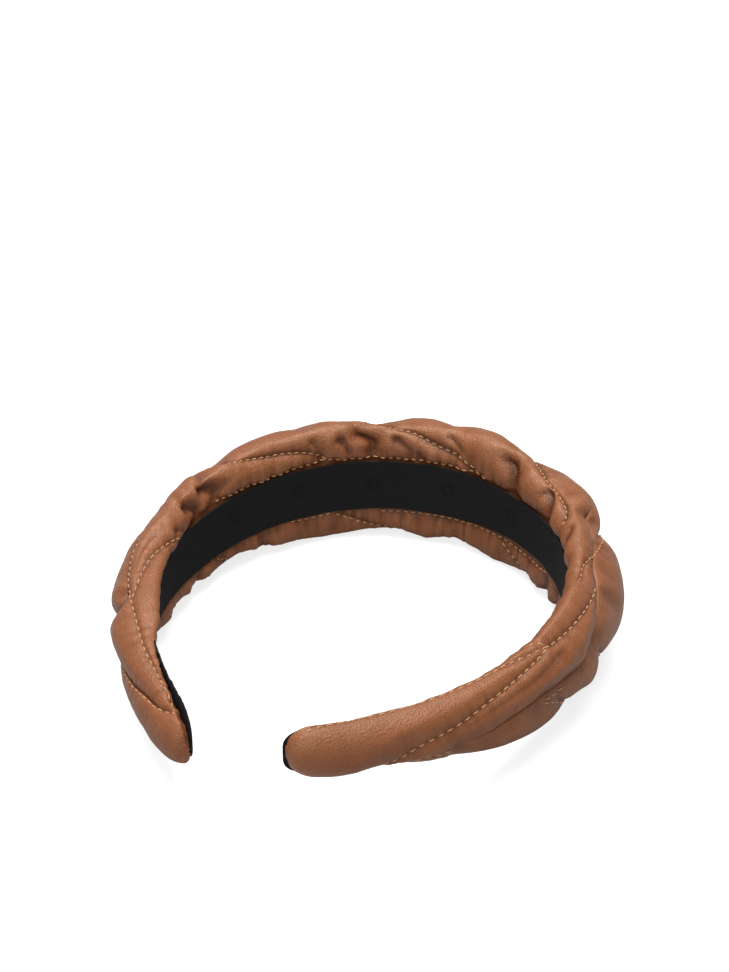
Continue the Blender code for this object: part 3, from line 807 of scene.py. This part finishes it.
def add_leather():
    rows = leather_rows()
    columns = leather_columns()
    shape = len(columns), len(rows)
    arcs = np.repeat(columns, len(rows))
    girths = np.tile(rows, len(columns))
    size = band_thickness(arcs) / CROWN_THICKNESS
    calm = smoothstep((HALF_ARC - np.abs(arcs)) / CALM_TIP)
    edge = smoothstep((1.62 - np.abs(girths)) / 0.14)
    bow = round_tip(arcs, HALF_ARC)
    points = place(arcs, *leather_section(arcs, girths, 0.3 + 0.7 * bow, 0.62 + 0.38 * bow))
    normals = grid_normals(points.reshape(*shape, 3)).reshape(-1, 3)

    valley, gathers, rolled, nearest, spread = quilting_fields(points)
    valley *= 1 - 0.35 * smoothstep((np.abs(girths) - 1.15) / 0.25)
    height = padding_height(points, arcs, girths, spread) * calm - valley * (0.3 + 0.7 * calm)
    points = points + normals * (height * edge)[:, None] + rolled * (calm * edge)[:, None]
    points += settle(points, shape, sewn_down(arcs, girths, nearest)) * (CLOTH_SHARE * size ** 2.4)[:, None]

    gathers = gathers + edge_gathers(arcs, girths, size)
    points = points + normals * (gathers * calm * edge)[:, None]
    points[:, 2] -= np.sign(girths) * edge_sag(arcs, girths, size) * calm + cut_back(arcs, girths)

    hollow = hollowness(points.reshape(*shape, 3))
    # Painted shade: darker in hollows, along the lines and on the strip beside the ribbon.
    shade_beside_ribbon = smoothstep((np.abs(girths) - 1.32) / 0.16) * size
    painted_shade = np.clip(hollow / 0.55 + 0.55 * shade_beside_ribbon + 0.22 * valley, 0, 1)
    # Paler ridges: partly wear, partly a painted highlight.
    crests = np.clip(-hollow / 0.40 - shade_beside_ribbon, 0, 1)
    faces = grid_faces(*shape).tolist()
    points, arcs = add_caps(points, arcs, faces, *shape)
    obj = add_mesh("leather_cover", points, faces, arcs)
    cap_values = np.zeros(len(points) - len(hollow))
    add_values(obj.data, "valley", np.concatenate([painted_shade, cap_values]))
    add_values(obj.data, "crest", np.concatenate([crests, cap_values]))
    return obj


# Threads

STITCH_SHARE = 0.655  # of the pitch
STITCH_RINGS = 9
THREAD_RADIUS = 0.21
THREAD_SIDES = 8
PLY_DEPTH = 0.14
RAY_START, RAY_LENGTH = 3.5, 9.0


def lie_on(tree, line, at):
    """Where the finished leather lies above or below a place on a line, and the outward direction there."""
    start = np.array([np.interp(at, line.along, line.points[:, i]) for i in range(3)])
    up = np.array([np.interp(at, line.along, line.normal[:, i]) for i in range(3)])
    up /= np.linalg.norm(up)
    hit = tree.ray_cast(Vector(start + up * RAY_START), Vector(-up), RAY_LENGTH)[0]
    return hit, up


def stitch_spine(tree, line, middle):
    """Points along one stitch and the outward directions there; None where it misses the leather."""
    spine, normals = [], []
    for share in np.linspace(-0.5, 0.5, STITCH_RINGS):
        hit, up = lie_on(tree, line, middle + share * STITCH_SHARE * line.pitch)
        if hit is None:
            return None
        bow = 1 - (2 * share) ** 4
        spine.append(np.array(hit) + up * (THREAD_RADIUS * (1.05 * bow - 0.45)))
        normals.append(up)
    spine, normals = np.array(spine), np.array(normals)
    # A thread is stiffer than the leather it lies on.
    chord = spine[0] + (spine[-1] - spine[0]) * np.linspace(0, 1, STITCH_RINGS)[:, None]
    lift = np.einsum("ij,ij->i", spine - chord, normals)
    lift = np.maximum(lift, 0.5 * lift.max()) * np.sin(np.linspace(0, np.pi, STITCH_RINGS)) ** 0.5
    return chord + normals * lift[:, None], normals


def thread_rings(spine, normals):
    """The vertices of one twisted thread, thinner at its ends."""
    tangent = np.gradient(spine, axis=0)
    tangent /= np.linalg.norm(tangent, axis=1, keepdims=True)
    across = np.cross(normals, tangent)
    across /= np.linalg.norm(across, axis=1, keepdims=True)
    up = np.cross(tangent, across)
    points = []
    for i in range(STITCH_RINGS):
        end = min(1.0, 0.45 + 1.6 * min(i, STITCH_RINGS - 1 - i) / (STITCH_RINGS - 1))
        for j in range(THREAD_SIDES):
            angle = 2 * math.pi * j / THREAD_SIDES
            radius = THREAD_RADIUS * end * (1 + PLY_DEPTH * math.cos(2 * angle - 1.9 * i))
            points.append(spine[i] + radius * (across[i] * math.cos(angle) + up[i] * math.sin(angle)))
    return points


def add_stitches(cover):
    """Single stitches on the finished leather, each a short twisted thread whose ends dive into the seam."""
    spots = [vertex.co / MM for vertex in cover.data.vertices]
    tree = BVHTree.FromPolygons(spots, [tuple(face.vertices) for face in cover.data.polygons])
    points, faces, arcs = [], [], []
    for line in QUILTING:
        if not line.stitches:
            continue
        for middle in np.arange(line.pitch / 2, line.length - line.pitch / 2, line.pitch):
            stitch = stitch_spine(tree, line, middle)
            if stitch is None:
                continue
            faces += tube_faces(len(points), STITCH_RINGS, THREAD_SIDES)
            points += thread_rings(*stitch)
            arcs += [np.interp(middle, line.along, line.s)] * (STITCH_RINGS * THREAD_SIDES)
    return add_mesh("quilting_thread", np.array(points), faces, arcs)


# Ribbon

RIB_PITCH = 0.85
RIB_STATIONS = 4
RIB_DEPTH = 0.02
RIBBON_END = HALF_ARC + 0.9
RIBBON_ROWS = 21
MOTIF_PITCH, MOTIF_REACH = 24, 3.4


def motif(arcs, rise):
    """A plain woven motif of small lozenges, which stands in for the printed pattern."""
    along = (arcs / MOTIF_PITCH + 0.5) % 1 - 0.5
    lozenge = np.abs(along * MOTIF_PITCH) / MOTIF_REACH + np.abs(rise) / MOTIF_REACH
    return smoothstep((1 - lozenge) / 0.3) * (1 - smoothstep((0.62 - lozenge) / 0.3))


def ribbon_wobble(arcs, across):
    """How the ribbon's edges wander up and down: most towards the left tip, where they fray."""
    loose = smoothstep((-arcs - 95) / 30)
    lane = np.sign(across) * 2
    wobble = (0.12 + 0.3 * loose) * edge_noise(arcs, lane, 3, 21)
    wobble += 0.22 * loose * edge_noise(arcs, lane, 0.9, 22)
    return wobble * np.abs(across) ** 6


def add_ribbon():
    """A thin closed strip with faint ribs across it. The twill along it is the material's."""
    count = int(HOOP_ARC / RIB_PITCH) * RIB_STATIONS + 1
    shape = count, RIBBON_ROWS
    arcs = np.repeat(np.linspace(-RIBBON_END, RIBBON_END, count), RIBBON_ROWS)
    across = np.tile(np.sin(np.linspace(-np.pi / 2, np.pi / 2, RIBBON_ROWS)), count)
    half = ribbon_half_width(arcs) - 0.7 * smoothstep((arcs - 60) / 60)
    half *= 0.32 + 0.68 * round_tip(arcs, RIBBON_END)
    rise = across * half + ribbon_wobble(arcs, across) + ribbon_centre(arcs)
    rib = RIB_DEPTH * np.repeat(np.cos(2 * np.pi * np.arange(count) / RIB_STATIONS), RIBBON_ROWS)
    selvedge = smoothstep((1 - np.abs(across)) * half)
    inner = place(arcs, -rib * selvedge - 0.02, rise)
    outer = place(arcs, RIBBON_THICKNESS - 0.1, rise)
    faces = grid_faces(*shape)[:, ::-1].tolist() + (grid_faces(*shape) + len(inner)).tolist()
    index = np.arange(len(inner)).reshape(shape)
    outline = np.concatenate([index[0], index[1:, -1], index[-1, -2::-1], index[-2:0:-1, 0]])
    onward = np.roll(outline, -1)
    faces += np.stack([outline, onward, onward + len(inner), outline + len(inner)], axis=-1).tolist()
    obj = add_mesh("lining_ribbon", np.vstack([inner, outer]), faces, np.tile(arcs, 2))
    add_values(obj.data, "motif", np.tile(motif(arcs, rise), 2))
    add_values(obj.data, "level", np.tile(rise, 2))
    return obj


# Hidden layers

HIDDEN_SPACING = 2.5


def add_hidden(name, end, section):
    """A closed loft through stations along the hoop. The section gives (offset, rise) points in order."""
    s = np.linspace(-end, end, int(end / HIDDEN_SPACING) * 2 + 1)
    rings = []
    for at in s:
        offset, rise = np.array(section(at)).T
        rings.append(place(np.full(len(offset), at), offset, rise))
    sides = len(rings[0])
    return add_mesh(name, np.vstack(rings), tube_faces(0, len(s), sides), np.repeat(s, sides))


def band_middle(s):
    return 0.0


def strap(level, thickness, crown, tip, power, centre=band_middle):
    """The section of a flat strap whose width tapers from crown to tip."""
    def section(s):
        half = float(taper(s, crown, tip, power)) / 2
        low, high = float(centre(s)) - half, float(centre(s)) + half
        return [(level, low), (level, high), (level + thickness, high), (level + thickness, low)]
    return section


def padding(bottom, inset):
    """The domed section of a pad that stays inside the leather by inset."""
    def section(s):
        half = max(2.0, float(band_half_width(s)) - inset * 0.8)
        height = max(0.4, float(band_thickness(s)) - inset - bottom)
        angles = np.radians(np.linspace(-90, 90, 13))
        return [(bottom + height * math.cos(a) ** 0.8, half * math.sin(a)) for a in angles]
    return section


def glue_centre(s):
    return 0.5 * ribbon_centre(s)


# Stage, light and camera

def add_area(name, spot, size, power):
    """A round light that shines at the middle of the hoop."""
    light = bpy.data.lights.new(name, "AREA")
    light.shape = "DISK"
    light.size = size
    light.energy = power
    obj = bpy.data.objects.new(name, light)
    obj.location = spot
    obj.rotation_euler = (-Vector(spot)).to_track_quat("-Z", "Y").to_euler()
    bpy.context.scene.collection.objects.link(obj)


AIM = Vector((-0.0247, 0.0549, 0.01875))
CAMERA_DISTANCE = 0.7196
CAMERA_AZIMUTH, CAMERA_ELEVATION = 24.9, 32.14
CAMERA_LENS = 85.67


def add_camera():
    azimuth, elevation = math.radians(CAMERA_AZIMUTH), math.radians(CAMERA_ELEVATION)
    towards = Vector((math.sin(azimuth) * math.cos(elevation), -math.cos(azimuth) * math.cos(elevation),
                      math.sin(elevation)))
    camera = bpy.data.cameras.new("camera")
    camera.lens = CAMERA_LENS
    camera.sensor_width = 36
    obj = bpy.data.objects.new("camera", camera)
    obj.location = AIM + towards * CAMERA_DISTANCE
    obj.rotation_euler = (-towards).to_track_quat("-Z", "Y").to_euler()
    bpy.context.scene.collection.objects.link(obj)
    bpy.context.scene.camera = obj


def add_floor(level):
    """A white sweep: it is lit, for its shadows, but the camera sees it brighter than the object does."""
    mesh = bpy.data.meshes.new("floor")
    mesh.from_pydata([(-3, -3, level), (3, -3, level), (3, 3, level), (-3, 3, level)], [], [(0, 1, 2, 3)])
    obj = bpy.data.objects.new("floor", mesh)
    bpy.context.scene.collection.objects.link(obj)
    m = Nodes("floor")
    seen = m.add("LightPath").outputs["Is Camera Ray"]
    m.feed(m.shader, {"Base Color": (0.38, 0.38, 0.38, 1), "Roughness": 0.8, "Specular IOR Level": 0.05,
                      "Emission Color": (1, 1, 1, 1), "Emission Strength": m.math("MULTIPLY", seen, 0.74)})
    mesh.materials.append(m.material)


def light_scene():
    world = bpy.data.worlds.new("studio")
    bpy.context.scene.world = world
    world.use_nodes = True
    background = world.node_tree.nodes["Background"]
    background.inputs["Color"].default_value = (1, 1, 1, 1)
    background.inputs["Strength"].default_value = 0.38
    add_area("overhead", (-0.10, 0.10, 1.2), size=1.2, power=22)
    add_area("key", (-0.35, 0.35, 1.0), size=0.6, power=2.8)
    add_area("front", (0.25, -1.1, 0.75), size=1.0, power=7)
    bpy.context.scene.view_settings.view_transform = "Standard"


def add_hidden_layers():
    core = add_hidden("core_band", 180,
                      strap(level=2.9, thickness=1.2, crown=15.0, tip=6.6, power=WIDTH_TAPER))
    plastic = padding_material("core_plastic", (0.62, 0.6, 0.55), (0.5, 0.48, 0.44), scale=0.5,
                               roughness=0.45)
    finish_piece(core, plastic, "core_plastic", *both("core_band"))
    foam = add_hidden("foam_pad", 140, padding(bottom=6.6, inset=8.8))
    soft = padding_material("foam", (0.85, 0.80, 0.62), (0.66, 0.6, 0.42), scale=1.6, roughness=0.95)
    finish_piece(foam, soft, "foam", *both("foam_pad"))
    wadding = add_hidden("quilt_wadding", 150, padding(bottom=6.2, inset=7.6))
    woolly = padding_material("wadding", (0.88, 0.88, 0.86), (0.7, 0.7, 0.68), scale=0.8, roughness=1.0)
    finish_piece(wadding, woolly, "wadding", *both("quilt_wadding"))
    glue = add_hidden("ribbon_glue", 182,
                      strap(level=0.6, thickness=0.2, crown=12.0, tip=6.0, power=3, centre=glue_centre))
    film = padding_material("adhesive", (0.16, 0.11, 0.06), (0.11, 0.075, 0.04), scale=0.4, roughness=0.4)
    finish_piece(glue, film, "adhesive", *both("ribbon_glue"))


def build():
    cover = add_leather()
    thread = add_stitches(cover)
    finish_piece(cover, leather_material(), "leather", *both("leather_cover"))
    thread_nodes = [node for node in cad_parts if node.startswith("thread_")]
    finish_piece(thread, thread_material(), "thread", *thread_nodes)
    finish_piece(add_ribbon(), ribbon_material(), "ribbon", *both("lining_ribbon"))
    add_hidden_layers()
    add_floor(min(vertex.co.z for vertex in cover.data.vertices))
    add_camera()
    light_scene()


build()
